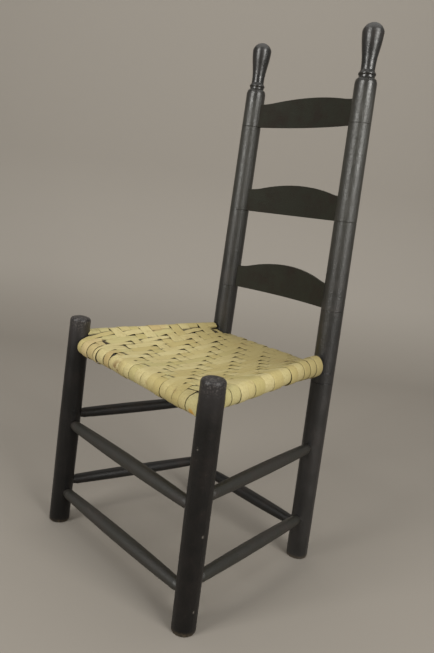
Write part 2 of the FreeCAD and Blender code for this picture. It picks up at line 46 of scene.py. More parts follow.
# Camera of the photograph
CAMERA_PLACE = Vector((848.3, -779.37, 683.3)) * MM
CAMERA_AZIMUTH = math.radians(46.88)
CAMERA_PITCH = math.radians(-10.89)
CAMERA_ROLL = math.radians(7.09)
CAMERA_LENS = 33.2
CAMERA_CLIP_START = 0.05

# Seat, in millimetres from the line between the front posts. Rows are the strips that run
# from side to side and columns the strips that run from front to back. The rows' edges are
# given over the middle of the seat, over its two side rails and on the underside, and the
# columns' edges at the front and the back of the deck and in the wraps round the front rail.
FRONT_LINE = -174.373
ROW_EDGES_MIDDLE = (8, 22, 48, 73, 93, 119, 145, 173, 198, 222, 248, 272, 298, 322, 345)
ROW_EDGES_LEFT = (16, 35, 58, 78, 98, 125, 152, 180, 205, 226, 247, 268, 288, 310, 346)
ROW_EDGES_RIGHT = (16, 45, 68, 90, 111, 133, 158, 182, 206, 229, 252, 276, 300, 325, 346)
ROW_EDGES_UNDER = (17, 33, 51, 74, 96, 120, 146, 173, 198, 222, 248, 272, 298, 322, 345)
COLUMN_EDGES_FRONT = (-185.3, -166, -147, -124, -112, -91, -73, -56, -38.5, -20.5, -1.5,
                      18.5, 36.5, 54, 71.5, 90, 107, 124.5, 141.5, 163.5, 185.3)
COLUMN_EDGES_BACK = (-222, -202, -183, -158, -143, -124, -107, -91, -75, -59, -42.5,
                     -26, -10, 8, 26, 44, 62, 79, 96, 113, 129.6)
COLUMN_EDGES_WRAP = (-183, -168, -145, -122, -111, -85, -66, -50, -33, -15, 2,
                     21, 39, 58, 77, 96, 113, 131, 148, 166, 198)
COLUMN_LENGTH = 348.0
ROW_COUNT = len(ROW_EDGES_MIDDLE) - 1
COLUMN_COUNT = len(COLUMN_EDGES_FRONT) - 1
# How far out the rows' edges have bent to their places over the side rails
ROW_BEND_REACH = 175.0
FRONT_ROWS = 2
FRONT_ROW_BEND = (135.0, 190.0)
# The columns' edges change to those of the wraps from behind to before the front line
WRAP_BLEND = (-20.0, 8.0)
# A column stops where its outer edge comes this near to the right rail's centre line, or
# where it meets the back right post
RAIL_OVERLAP = 2.0
BACK_POST_EDGE = -131.0
BACK_POST_START = 312

# Twill: the place in each repeat where a row is on top, on the top (1) and the underside (-1)
TWILL_REPEAT = 4
TWILL_PHASE = {1: 2, -1: 0}
LAST_COLUMN_UNDER_PHASE = 0
# Along the right rail, where the weaver filled the corner with short strips, the weave is
# looser and its floats are longer. Its width in millimetres:
LOOSE_WIDTH = 62.0
LOOSE_PHASES = (2, 3)

# Places where neighbouring strips stand apart, for single edges: place, width and reach
COLUMN_GAPS = {1: [(-11, 2.0, 15)], 2: [(14, 4.0, 12), (-13, 1.4, 13)], 3: [(0, 3.0, 17)],
               4: [(-8, 2.8, 15)], 5: [(-14, 3.0, 11)], 6: [(4, 9.0, 9)],
               8: [(-13, 0.9, 12)], 10: [(-12, 0.9, 22)], 12: [(-12, 0.8, 14)],
               15: [(-8, 0.8, 20)], 16: [(-14, 0.6, 12)], 17: [(-12, 0.8, 14)],
               19: [(-8, 1.6, 16)]}
ROW_GAPS = {0: [(-76, 7.0, 9)], 1: [(-79, 5.5, 9), (215, 1.0, 14)], 2: [(215, 0.9, 14)],
            4: [(215, 0.9, 14)], 7: [(212, 1.6, 14)], 8: [(212, 5.0, 14)],
            11: [(170, 1.4, 10)]}
# Gaps round every place where a row comes up: shift, width and reach, drawn from a range or
# fixed. The columns stand apart on its right and left, and the rows at its front corners.
RIGHT_COLUMN_GAP = ((-4, 1), (4.0, 6.4), (6, 12))
LEFT_COLUMN_GAP = ((-2, 4), (2.6, 4.6), (5, 9))
RIGHT_ROW_GAP = ((0, 4), (2.8, 4.8), (7, 11))
LEFT_ROW_GAP = ((-4, 0), (1.8, 3.2), 8)
# Share of those widths in the loose weave and round the first row
LOOSE_GAP_SHARE = 0.9
FIRST_ROW_GAP_SHARE = 0.4
# Reaches beyond which a gap has closed
GAP_CUT = 3

# Tan stretches of splint: place, reach and strength
TAN_PATCHES = ((-128, -10, 45, 0.93), (-190, 165, 34, 0.93), (-60, -14, 30, 0.3))
# An amber end and a stained wrap, in metres
AMBER_END = (0.181, -0.1885, 0.3705)
STAINED_WRAP = (-0.035, -0.189, 0.380)

# How far loosely drawn wraps hang away from the left rail: row and millimetres
LOOSE_WRAPS = {0: 0.8, 1: 1.4, 2: 2.6, 3: 1.6, 4: 2.4, 5: 1.2, 6: 1.8, 7: -0.6, 8: 2.0, 9: 1.2,
               10: 2.2, 11: 3.0, 12: 4.5}
# How far they stand off the rail's top
RAISED_WRAPS = {5: 0.5, 6: 1.0, 7: 1.2, 8: 2.2, 9: 2.6, 10: 3.6, 11: 4.4, 12: 5.5}
# The same for the other rails, where most of it is drawn from a range
RIGHT_WRAP_SLACK = 0.5
RIGHT_WRAP_RISE = (0.0, 2.0)
FRONT_WRAP_SLACK = (0.0, 2.0)
BACK_WRAP_RISE = (0.0, 2.6)
# The first columns hang further away from the front rail
SLACK_COLUMNS = 4
EXTRA_SLACK = 1.4

RAIL_RADIUS = 14.0
WRAP_RADIUS = RAIL_RADIUS + 0.7
DECK_RADIUS = RAIL_RADIUS + 1.3
STRIP_THICKNESS = 0.75
STRIP_GAP = 0.05
LEAST_WIDTH = 8.5
UNDER_NARROWING = 2.0
WEAVE_LIFT = 0.6
LIFT_SPREAD = 0.08
TOP_SAG = 8.0
BOTTOM_RISE = 5.0
# Power of the weave's climb to the side rails from front to back
CORNER_POWER = 6
# X at which the rows' wraps round the side rails take their place
SIDE_REACH = 190.0
# How far the ends of open strips run on under what crosses them
TUCK = 11.0
# How far the middle of a strip bulges, flat on the deck and in the wraps
FLAT_CROWN = 0.08
COLUMN_WRAP_CROWN = 0.9
ROW_WRAP_CROWN = 1.2
# Section of a strip: shares of its half width and of its half thickness
SHOULDER = 0.88
EDGE_ROUNDING = 0.5
EDGE_FLAT = 0.3
OUTER_SHOULDER_CROWN = 0.3
INNER_SHOULDER_CROWN = 0.2
# Range of the share under the neighbours over which a strip darkens with painted shade, which
# makes the slits between strips dark
SHADE_RANGE = (0.4, 0.75)
# Share of a strip's own tan, to which the tan stretches add
OWN_TAN_SHARE = 0.86

SEAT_LEVEL = 400.0
BESIDE_SEAT = 45.0
POST_CLEARANCE = 0.3
# Depths within which a solid's points belong to its end
RAIL_END_DEPTH = 3.0
POST_END_DEPTH = 1.0

# Steps of the curves
SAMPLE_STEP = 2.4
LEAST_STEP = 1.0
SLOPE_STEP = 2.0
ARC_STEP = math.radians(15)
LEAST_ARC_STEPS = 4
# Least distance of a path point from a rail's centre, as a share of the wrap's radius
LEAST_REACH = 1.001
# Rounds and first guess in the search for a crossing
CROSSING_ROUNDS = 4
FIRST_GUESS = 12


def lerp(first, second, share):
    return first + (second - first) * share


def smooth(low, high, number):
    """Smooth step from 0 at low to 1 at high"""
    share = min(max((number - low) / (high - low), 0.0), 1.0)
    return share * share * (3 - 2 * share)


# Rails, in millimetres

def rail_line(node, axis):
    """Centres of a turned rail's two ends, from the flat ends of its tenons"""
    points = np.array([vertex.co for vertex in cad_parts[node].data.vertices]) / MM
    ends = []
    for limit in (points[:, axis].min(), points[:, axis].max()):
        near = points[np.abs(points[:, axis] - limit) < RAIL_END_DEPTH]
        ends.append((near.min(axis=0) + near.max(axis=0)) / 2)
    return ends


def along_line(line, axis, number):
    """Point on the centre line of a rail or post at a given X, Y or Z"""
    first, last = line
    return lerp(first, last, (number - first[axis]) / (last[axis] - first[axis]))


def post_line(node):
    """Centres of a turned post's two ends, and its greatest radius beside the seat"""
    points = np.array([vertex.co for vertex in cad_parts[node].data.vertices]) / MM
    ends = []
    for limit in (points[:, 2].min(), points[:, 2].max()):
        near = points[np.abs(points[:, 2] - limit) < POST_END_DEPTH]
        ends.append((near.min(axis=0) + near.max(axis=0)) / 2)
    beside = points[np.abs(points[:, 2] - SEAT_LEVEL) < BESIDE_SEAT]
    centres = np.array([along_line(ends, 2, height) for height in beside[:, 2]])
    return ends, np.linalg.norm((beside - centres)[:, :2], axis=1).max()


def clear_of_posts(place):
    """Move a point of the weave out of a post, so that strips bend round it"""
    for ends, radius in POSTS:
        centre = along_line(ends, 2, place[2])
        away = (place - centre)[:2]
        reach = np.linalg.norm(away)
        if reach < radius + POST_CLEARANCE:
            place = place.copy()
            place[:2] = centre[:2] + away / reach * (radius + POST_CLEARANCE)
    return place


FRONT_RAIL = rail_line("front_seat_rail", 0)
BACK_RAIL = rail_line("back_seat_rail", 0)
SIDE_RAILS = {1: rail_line("left_seat_rail", 1), -1: rail_line("right_seat_rail", 1)}
POSTS = [post_line(node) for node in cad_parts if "_post_" in node]


def deck_height(x, y, face):
    """Height of the middle of the weave on the top (face 1) or the underside (face -1)"""
    front = along_line(FRONT_RAIL, 0, x)
    back = along_line(BACK_RAIL, 0, x)
    share = (y - front[1]) / (back[1] - front[1])
    front_edge, back_edge = (line[2] + face * DECK_RADIUS for line in (front, back))
    front_middle = along_line(FRONT_RAIL, 0, 0)[2] + face * DECK_RADIUS
    back_middle = along_line(BACK_RAIL, 0, 0)[2] + face * DECK_RADIUS
    if face > 0:
        middle = min(front_middle, back_middle) - TOP_SAG
    else:
        middle = max(front_middle, back_middle) + BOTTOM_RISE
    sag = (front_middle + back_middle) / 2 - middle
    level = lerp(front_edge, back_edge, share) - sag * 4 * share * (1 - share)
    side = 1 if x > 0 else -1
    rail = along_line(SIDE_RAILS[side], 1, y)
    across = x / rail[0]
    climb = 1 - min(abs(1 - 2 * share), 1.0) ** CORNER_POWER
    return level + (rail[2] + face * DECK_RADIUS - level) * across * across * climb


column_gaps = {edge: list(COLUMN_GAPS.get(edge, ())) for edge in range(COLUMN_COUNT + 1)}
row_gaps = {edge: list(ROW_GAPS.get(edge, ())) for edge in range(ROW_COUNT + 1)}


def gap(gaps, edge, place):
    """Extra distance between the two strips that meet at an edge"""
    return sum(width * math.exp(-((place - centre) / reach) ** 2)
               for centre, width, reach in gaps[edge]
               if abs(place - centre) < GAP_CUT * reach)


def row_edge(row, x, face=1):
    """Distance of the edge before a row from the front line, at a given X.

    face is 1 for the top, -1 for the underside and between them in the wraps.
    """
    middle = lerp(ROW_EDGES_UNDER[row], ROW_EDGES_MIDDLE[row], (face + 1) / 2)
    side = (ROW_EDGES_LEFT if x > 0 else ROW_EDGES_RIGHT)[row]
    if row < FRONT_ROWS:
        share = smooth(*FRONT_ROW_BEND, abs(x))
    else:
        share = min(abs(x) / ROW_BEND_REACH, 1.0) ** 2
    return lerp(middle, side, share)


def column_edge(column, behind):
    """X of the edge before a column, at a given distance behind the front line"""
    edge = lerp(COLUMN_EDGES_FRONT[column], COLUMN_EDGES_BACK[column], behind / COLUMN_LENGTH)
    return lerp(edge, COLUMN_EDGES_WRAP[column], smooth(*WRAP_BLEND, -behind))


def row_span(row, x, face=1):
    """Front and back edge of a row's strip at a given X"""
    low = row_edge(row, x, face) + gap(row_gaps, row, x) / 2
    high = row_edge(row + 1, x, face) - gap(row_gaps, row + 1, x) / 2
    return FRONT_LINE + low + STRIP_GAP / 2, FRONT_LINE + high - STRIP_GAP / 2


def column_span(column, y):
    """Lower and higher X of a column's strip at a given Y"""
    place = y - FRONT_LINE
    low = column_edge(column, place) + gap(column_gaps, column, place) / 2
    high = column_edge(column + 1, place) - gap(column_gaps, column + 1, place) / 2
    return low + STRIP_GAP / 2, high - STRIP_GAP / 2


def column_end(column):
    """Y where a column stops, because it meets the right side rail or the back post"""
    for step in range(int(COLUMN_LENGTH)):
        y = FRONT_LINE + step
        outer = column_edge(column, step)
        rail = along_line(SIDE_RAILS[-1], 1, y)[0]
        at_post = outer < BACK_POST_EDGE and step > BACK_POST_START
        if outer < rail + RAIL_OVERLAP or at_post:
            return y
    return None


COLUMN_ENDS = [column_end(column) for column in range(COLUMN_COUNT)]


def crossing(row, column, face=1):
    """Centre of the place where a row and a column cross"""
    y = FRONT_LINE + row_edge(row, 0, face) + FIRST_GUESS
    for _ in range(CROSSING_ROUNDS):
        x = sum(column_span(column, y)) / 2
        y = sum(row_span(row, x, face)) / 2
    return x, y


def has_column(row, column):
    """Whether a column still runs where it would cross a row"""
    end = COLUMN_ENDS[column]
    return end is None or crossing(row, column)[1] < end


def in_loose_weave(row, column):
    x, y = crossing(row, column)
    return x < along_line(SIDE_RAILS[-1], 1, y)[0] + LOOSE_WIDTH


def row_on_top(row, column, face):
    """Whether a row lies over a column, seen from above"""
    phase = (row + column) % TWILL_REPEAT
    if face > 0 and column == COLUMN_COUNT - 1:
        return phase != LAST_COLUMN_UNDER_PHASE
    if face > 0 and row > 0 and in_loose_weave(row, column):
        return phase in LOOSE_PHASES
    return phase == TWILL_PHASE[face]


def drawn(limits):
    """A number drawn from a range, or the number itself where it is fixed"""
    return rng.uniform(*limits) if isinstance(limits, tuple) else limits


def add_gap(gaps, place, loose, limits):
    shift, width, reach = limits
    gaps.append((place + drawn(shift), loose * drawn(width), drawn(reach)))


def open_cells():
    """Let the strips stand apart round each place where a row comes up"""
    for row in range(ROW_COUNT - 1):
        for column in range(COLUMN_COUNT - 1):
            if not row_on_top(row, column, 1) or not has_column(row, column):
                continue
            if column > 0 and row_on_top(row, column - 1, 1):
                continue
            x, _ = crossing(row, column)
            front = row_edge(row, x)
            low, high = column_span(column, front + FRONT_LINE)
            loose = LOOSE_GAP_SHARE if in_loose_weave(row, column) else 1.0
            if row == 0:
                loose = FIRST_ROW_GAP_SHARE
            add_gap(column_gaps[column], front, loose, RIGHT_COLUMN_GAP)
            add_gap(column_gaps[column + 1], front, loose, LEFT_COLUMN_GAP)
            add_gap(row_gaps[row], low, loose, RIGHT_ROW_GAP)
            add_gap(row_gaps[row], high, loose, LEFT_ROW_GAP)


def deck_across(x, y, face, direction):
    """Unit vector on the deck in the X (0) or Y (1) direction"""
    step = np.zeros(2)
    step[direction] = SLOPE_STEP
    rise = deck_height(x + step[0], y + step[1], face)
    rise -= deck_height(x - step[0], y - step[1], face)
    vector = np.array((*step, rise / 2))
    return vector / np.linalg.norm(vector)


def wrap_points(line, axis, outward, before, after, radius, slack, rise):
    """Points round a rail from one path point to the next, laid off as tangents.

    axis is the axis that the rail runs along, and outward the sign of its free side. Slack
    is how far the strip hangs away from the rail's underside, and rise how far it stands off
    the rail's top.
    """
    plane = 1 - axis
    centre_before = along_line(line, axis, before[axis])
    centre_after = along_line(line, axis, after[axis])
    angles = []
    for point, centre in ((before, centre_before), (after, centre_after)):
        out = (point[plane] - centre[plane]) * outward
        up = point[2] - centre[2]
        reach = max(math.hypot(out, up), radius * LEAST_REACH)
        lean = math.acos(radius / reach)
        angle = math.atan2(up, out)
        angles.append(angle - lean if angle > 0 else angle + lean)
    count = max(int(abs(angles[0] - angles[1]) / ARC_STEP), LEAST_ARC_STEPS)
    points = []
    for step in range(count + 1):
        share = step / count
        angle = lerp(angles[0], angles[1], share)
        place = lerp(before[axis], after[axis], share)
        centre = along_line(line, axis, place)
        point = centre.copy()
        away = radius + (slack * (1 - math.sin(angle)) + rise * (1 + math.sin(angle))) / 2
        point[plane] += math.cos(angle) * away * outward
        point[2] += math.sin(angle) * away
        points.append(point)
    return points


class Path:
    """Centre line of a strip, with its sideways direction at each point, how far it lies
    under its neighbours (0 to 1) and the face it is on (1 top, -1 underside)"""

    def __init__(self, number, span):
        self.number, self.span = number, span
        self.points, self.across, self.states = [], [], []

    def add(self, point, across, under, face):
        self.points.append(np.array(point, float))
        self.across.append(np.array(across, float))
        self.states.append((under, face))

    def extend(self, other):
        for point, across, state in zip(other.points, other.across, other.states):
            self.add(point, across, *state)


def rail_across(line):
    """Unit vector along a rail, which is the sideways direction of the strips round it"""
    vector = line[1] - line[0]
    return vector / np.linalg.norm(vector)


def add_crossings(path, cells, face, direction):
    """Carry a strip over and under the strips it crosses on one face"""
    for row, column in cells:
        if not has_column(row, column):
            continue
        x, y = crossing(row, column, face)
        under = row_on_top(row, column, face) != (direction == 1)
        lift = -WEAVE_LIFT if under else WEAVE_LIFT
        lift += rng.uniform(-LIFT_SPREAD, LIFT_SPREAD)
        z = deck_height(x, y, face) + face * lift
        path.add((x, y, z), deck_across(x, y, face, direction), float(under), face)


def add_wrap(path, line, axis, outward, before, after, slack=0.0, rise=0.0):
    """Carry a strip round a rail from one face to the other"""
    for point in wrap_points(line, axis, outward, before, after, WRAP_RADIUS, slack, rise):
        centre = along_line(line, axis, point[axis])
        path.add(point, rail_across(line), 0.0, (point[2] - centre[2]) / WRAP_RADIUS)


def add_tucks(path, axis):
    """Lengthen a strip that ends, so that both ends lie under what crosses them"""
    for end, beside in ((0, 1), (-1, -2)):
        point = path.points[end].copy()
        point[axis] += math.copysign(TUCK, point[axis] - path.points[beside][axis])
        path.points.insert(0 if end == 0 else len(path.points), point)
        path.across.insert(0 if end == 0 else len(path.across), path.across[end])
        path.states.insert(0 if end == 0 else len(path.states), path.states[end])


def build_row(row):
    """A row as a closed loop round both side rails"""
    cells = [(row, column) for column in range(COLUMN_COUNT)]
    top, bottom = Path(row, row_span), Path(row, row_span)
    add_crossings(top, cells, 1, 1)
    add_crossings(bottom, cells[::-1], -1, 1)
    path = Path(row, row_span)
    for deck, other, side in ((top, bottom, 1), (bottom, top, -1)):
        path.extend(deck)
        before, after = deck.points[-1].copy(), other.points[0].copy()
        before[1] = after[1] = sum(row_span(row, side * SIDE_REACH)) / 2
        slack = LOOSE_WRAPS[row] if side > 0 else RIGHT_WRAP_SLACK
        rise = RAISED_WRAPS.get(row, 0.0) if side > 0 else drawn(RIGHT_WRAP_RISE)
        add_wrap(path, SIDE_RAILS[side], 1, side, before, after, slack, rise)
    return path


def build_end_row(row):
    """The open row beside the back rail, which ends under the outer columns"""
    path = Path(row, row_span)
    add_crossings(path, [(row, column) for column in range(COLUMN_COUNT)], 1, 1)
    path.points[0][2] -= WEAVE_LIFT
    path.points[-1][2] -= WEAVE_LIFT
    add_tucks(path, 0)
    return path


def build_column(column):
    """A column's path, and whether it is a closed loop round the front and back rails"""
    cells = [(row, column) for row in range(ROW_COUNT) if has_column(row, column)]
    top, bottom = Path(column, column_span), Path(column, column_span)
    add_crossings(top, cells[::-1], 1, 0)
    add_crossings(bottom, [cell for cell in cells if cell[0] < ROW_COUNT - 1], -1, 0)
    closed = COLUMN_ENDS[column] is None
    if not closed:
        top.points[0][2] = deck_height(*top.points[0][:2], 1) - WEAVE_LIFT
    path = Path(column, column_span)
    path.extend(top)
    slack = drawn(FRONT_WRAP_SLACK) + (EXTRA_SLACK if column < SLACK_COLUMNS else 0.0)
    add_wrap(path, FRONT_RAIL, 0, -1, top.points[-1], bottom.points[0], slack)
    path.extend(bottom)
    if closed:
        add_wrap(path, BACK_RAIL, 0, 1, bottom.points[-1], top.points[0], 0.0,
                 drawn(BACK_WRAP_RISE))
    else:
        add_tucks(path, 1)
    return path, closed


def resample(path, closed):
    """Smooth curve through a path's points, in even steps of about SAMPLE_STEP"""
    knots = np.hstack((path.points, path.across, path.states))
    keep = [0]
    for index in range(1, len(knots)):
        if np.linalg.norm(knots[index, :3] - knots[keep[-1], :3]) > LEAST_STEP:
            keep.append(index)
    knots = knots[keep]
    count = len(knots)
    if closed:
        after, before = np.roll(knots, -1, axis=0), np.roll(knots, 1, axis=0)
    else:
        after = np.vstack((knots[1:], knots[-1:] * 2 - knots[-2:-1]))
        before = np.vstack((knots[:1] * 2 - knots[1:2], knots[:-1]))
    ahead = np.linalg.norm((after - knots)[:, :3], axis=1)[:, None]
    behind = np.linalg.norm((knots - before)[:, :3], axis=1)[:, None]
    slope = (after - knots) / ahead * behind + (knots - before) / behind * ahead
    slope /= ahead + behind
    samples = []
    for index in range(count if closed else count - 1):
        following = (index + 1) % count
        length = float(ahead[index, 0])
        steps = max(int(round(length / SAMPLE_STEP)), 1)
        for step in range(steps):
            share = step / steps
            square, cube = share * share, share ** 3
            samples.append((2 * cube - 3 * square + 1) * knots[index]
                           + (cube - 2 * square + share) * length * slope[index]
                           + (3 * square - 2 * cube) * knots[following]
                           + (cube - square) * length * slope[following])
    if not closed:
        samples.append(knots[-1])
    return np.array(samples)


def strip_section():
    """Corners of a strip's section, round its outline.

    Each has its share of the half width, its distance beyond that, its height and its share
    of the crown.
    """
    half = STRIP_THICKNESS / 2
    edge = half * EDGE_ROUNDING
    flat = half * EDGE_FLAT
    return ((-1, -edge, -flat, 0), (-1, 0, -half, 0), (-SHOULDER, 0, -half, INNER_SHOULDER_CROWN),
            (0, 0, -half, 1), (SHOULDER, 0, -half, INNER_SHOULDER_CROWN), (1, 0, -half, 0),
            (1, edge, -flat, 0), (1, edge, flat, 0), (1, 0, half, 0),
            (SHOULDER, 0, half, OUTER_SHOULDER_CROWN), (0, 0, half, 1),
            (-SHOULDER, 0, half, OUTER_SHOULDER_CROWN), (-1, 0, half, 0), (-1, -edge, flat, 0))


def tan_share(place):
    """How tan the splint is at a point, from the tan stretches"""
    x, y = place[0], place[1] - FRONT_LINE
    return sum(strength * math.exp(-(((x - centre_x) / reach) ** 2
                                     + ((y - centre_y) / reach) ** 2))
               for centre_x, centre_y, reach, strength in TAN_PATCHES)


def strip_frame(points, across, closed):
    """Unit sideways directions and normals of a strip at its sample points"""
    if closed:
        ahead, behind = np.roll(points, -1, axis=0), np.roll(points, 1, axis=0)
    else:
        ahead = np.vstack((points[1:], points[-1:]))
        behind = np.vstack((points[:1], points[:-1]))
    tangent = ahead - behind
    tangent /= np.linalg.norm(tangent, axis=1)[:, None]
    across = across - tangent * (across * tangent).sum(axis=1)[:, None]
    across /= np.linalg.norm(across, axis=1)[:, None]
    return across, np.cross(tangent, across)


def strip_mesh(path, closed, mesh_data):
    """Add one strip to the vertices, faces, tints and shades in mesh_data"""
    samples = resample(path, closed)
    points = samples[:, :3]
    under = np.clip(samples[:, 6], 0.0, 1.0)
    faces_up = samples[:, 7]
    by_column = path.span is column_span
    wrap_crown = COLUMN_WRAP_CROWN if by_column else ROW_WRAP_CROWN
    widths = []
    for index, (x, y) in enumerate(points[:, :2]):
        if by_column:
            low, high = path.span(path.number, y)
        else:
            low, high = path.span(path.number, x, float(np.clip(faces_up[index], -1.0, 1.0)))
        points[index, 0 if by_column else 1] = (low + high) / 2
        widths.append(max(high - low, LEAST_WIDTH) - UNDER_NARROWING * under[index])
    across, normal = strip_frame(points, samples[:, 3:6], closed)
    section = strip_section()
    size = len(section)
    vertices, faces, tints, shades = mesh_data
    base = len(vertices)
    tint = (rng.random(), rng.random(), rng.random())
    for index, point in enumerate(points):
        reach = widths[index] / 2 - STRIP_THICKNESS / 2 * EDGE_ROUNDING
        crown = FLAT_CROWN + wrap_crown * max(0.0, 1 - faces_up[index] ** 2)
        for side, extra, height, share in section:
            place = (point + across[index] * (side * reach + extra)
                     + normal[index] * (height + crown * share))
            vertices.append(clear_of_posts(place) * MM)
            tan = min(tint[2] * OWN_TAN_SHARE + tan_share(place), 1.0)
            tints.append((tint[0], tint[1], tan))
            # Painted shade where the strip runs under its neighbours
            shades.append(smooth(*SHADE_RANGE, under[index]))
    rings = len(points)
    for index in range(rings if closed else rings - 1):
        here = base + index * size
        there = base + ((index + 1) % rings) * size
        for corner in range(size):
            following = (corner + 1) % size
            faces.append((here + corner, here + following, there + following, there + corner))
    if not closed:
        first = range(base, base + size)
        faces.append(list(reversed(first)))
        faces.append([corner + (rings - 1) * size for corner in first])


def splint_object(name, mesh_data, material):
    """One object of all the strips in mesh_data"""
    vertices, faces, tints, shades = mesh_data
    mesh = bpy.data.meshes.new(name)
    mesh.from_pydata([tuple(vertex) for vertex in vertices], [], faces)
    mesh.validate()
    attribute = mesh.color_attributes.new("tint", "FLOAT_COLOR", "POINT")
    for index, tint in enumerate(tints):
        attribute.data[index].color = (*tint, 1.0)
    attribute = mesh.attributes.new("shade", "FLOAT", "POINT")
    attribute.data.foreach_set("value", shades)
    for polygon in mesh.polygons:
        polygon.use_smooth = True
    mesh.materials.append(material)
    piece = bpy.data.objects.new(name, mesh)
    bpy.context.collection.objects.link(piece)
    return piece


# Materials

def along_axis(axis, across, along):
    """Scales for noise that is drawn out along one axis"""
    scales = [across] * 3
    scales[axis] = along
    return scales


def srgb(red, green, blue):
    """Linear colour from display values of 0 to 255"""
    def linear(channel):
        share = channel / 255
        return share / 12.92 if share <= 0.04045 else ((share + 0.055) / 1.055) ** 2.4
    return (linear(red), linear(green), linear(blue), 1.0)


class Shader:
    """A material's node tree with short calls for the nodes used here"""

    def __init__(self, name):
        self.material = bpy.data.materials.new(name)
        self.material.use_nodes = True
        self.tree = self.material.node_tree
        self.surface = self.tree.nodes["Principled BSDF"]

    def node(self, kind, **settings):
        made = self.tree.nodes.new(kind)
        for key, setting in settings.items():
            setattr(made, key, setting)
        return made

    def link(self, output, target):
        self.tree.links.new(output, target)

    def place(self, scale, shift=(0, 0, 0)):
        """Object coordinates, scaled per axis"""
        coordinates = self.node("ShaderNodeTexCoord")
        mapping = self.node("ShaderNodeMapping")
        self.link(coordinates.outputs["Object"], mapping.inputs["Vector"])
        mapping.inputs["Scale"].default_value = scale
        mapping.inputs["Location"].default_value = shift
        return mapping.outputs["Vector"]

    def noise(self, vector, scale, detail, rough):
        made = self.node("ShaderNodeTexNoise")
        self.link(vector, made.inputs["Vector"])
        made.inputs["Scale"].default_value = scale
        made.inputs["Detail"].default_value = detail
        made.inputs["Roughness"].default_value = rough
        return made.outputs["Fac"]

    def ramp(self, value, low, high, low_to=0.0, high_to=1.0):
        """Smooth change from low_to at low to high_to at high"""
        made = self.node("ShaderNodeMapRange", interpolation_type="SMOOTHSTEP")
        self.link(value, made.inputs["Value"])
        for name, number in (("From Min", low), ("From Max", high),
                             ("To Min", low_to), ("To Max", high_to)):
            made.inputs[name].default_value = number
        return made.outputs["Result"]

    def give(self, socket, given):
        """Link another node's output to a socket, or set the socket to a constant"""
        if isinstance(given, bpy.types.NodeSocket):
            self.link(given, socket)
        else:
            socket.default_value = given

    def mix(self, share, first, second):
        """Colour between two, of which the second has the share"""
        made = self.node("ShaderNodeMix", data_type="RGBA")
        for index, given in ((0, share), (6, first), (7, second)):
            self.give(made.inputs[index], given)
        return made.outputs[2]

    def math(self, operation, first, second):
        made = self.node("ShaderNodeMath", operation=operation)
        for socket, given in zip(made.inputs, (first, second)):
            self.give(socket, given)
        return made.outputs[0]

    def times(self, first, second):
        return self.math("MULTIPLY", first, second)

    def plus(self, first, second):
        return self.math("ADD", first, second)

    def bump(self, height, strength, distance, normal=None):
        made = self.node("ShaderNodeBump")
        self.link(height, made.inputs["Height"])
        made.inputs["Strength"].default_value = strength
        made.inputs["Distance"].default_value = distance
        if normal:
            self.link(normal, made.inputs["Normal"])
        return made.outputs["Normal"]

    def finish(self, colour, rough, specular, normal):
        """Give the surface its colour, roughness, specular level and bumps"""
        self.link(colour, self.surface.inputs["Base Color"])
        self.give(self.surface.inputs["Roughness"], rough)
        self.surface.inputs["Specular IOR Level"].default_value = specular
        if normal:
            self.link(normal, self.surface.inputs["Normal"])
        return self.material

    def near(self, centre, core, reach):
        """1 within core metres of a point, falling to 0 at reach"""
        coordinates = self.node("ShaderNodeTexCoord")
        apart = self.node("ShaderNodeVectorMath", operation="DISTANCE")
        self.link(coordinates.outputs["Object"], apart.inputs[0])
        apart.inputs[1].default_value = centre
        return self.ramp(apart.outputs["Value"], core, reach, 1.0, 0.0)

    def axis(self, name):
        """X, Y or Z of the point, in metres"""
        coordinates = self.node("ShaderNodeTexCoord")
        split = self.node("ShaderNodeSeparateXYZ")
        self.link(coordinates.outputs["Object"], split.inputs[0])
        return split.outputs[name]


# Paint and wood
BLACK_PAINT = srgb(19, 18, 17)
WORN_PAINT = srgb(42, 33, 29)
FLAT_PAINT = srgb(43, 43, 35)
SATIN_PAINT = srgb(35, 34, 28)
# Painted sheen: lighter paint on the upper posts, between their highlights
PAINTED_SHEEN_GREY = srgb(52, 51, 44)
BARE_WOOD = srgb(84, 73, 58)
DARK_GRAIN = srgb(13, 12, 11)
SCUFFED_PAINT = srgb(96, 84, 74)
# Painted shade on the lower posts
PAINTED_SHADE_BLACK = srgb(7, 6, 6)
# Painted highlight and glints on the front posts' tops
TOP_HIGHLIGHT_GREY = srgb(54, 51, 51)
TOP_GLINT = srgb(100, 95, 92)
CHIP_COLOUR = srgb(108, 103, 96)
# Chips in the paint of the front left post, and the metres over which each fades
CHIPS = ((0.2122, -0.1935, 0.3246), (0.2291, -0.1735, 0.1799), (0.2273, -0.1725, 0.0453))
CHIP_FADE = (0.0005, 0.004)
# Scales of the noise: across and along the grain, of the clouds and of the pits
GRAIN_SCALES = (260.0, 9.0)
CLOUD_SCALE = 26.0
PIT_SCALE = 330.0
# Ranges of height in which the posts' paint, painted light and shade and roughness change, in
# metres
PAINTED_SHADE_BLACK_RANGE = (0.05, 0.6)
PAINTED_SHEEN_FROM = (0.4, 0.8)
PAINTED_SHEEN_UNTIL = (0.9, 0.96)
TOP_HIGHLIGHT_RANGE = (0.35, 0.43)
TOP_GLINT_RANGE = (0.405, 0.43)
FOOT_RANGE = (0.006, 0.016)
FOOT_WAVER = 0.012
FINIAL_RANGE = (0.9, 0.94)
CAP_RANGE = (1.02, 1.045)


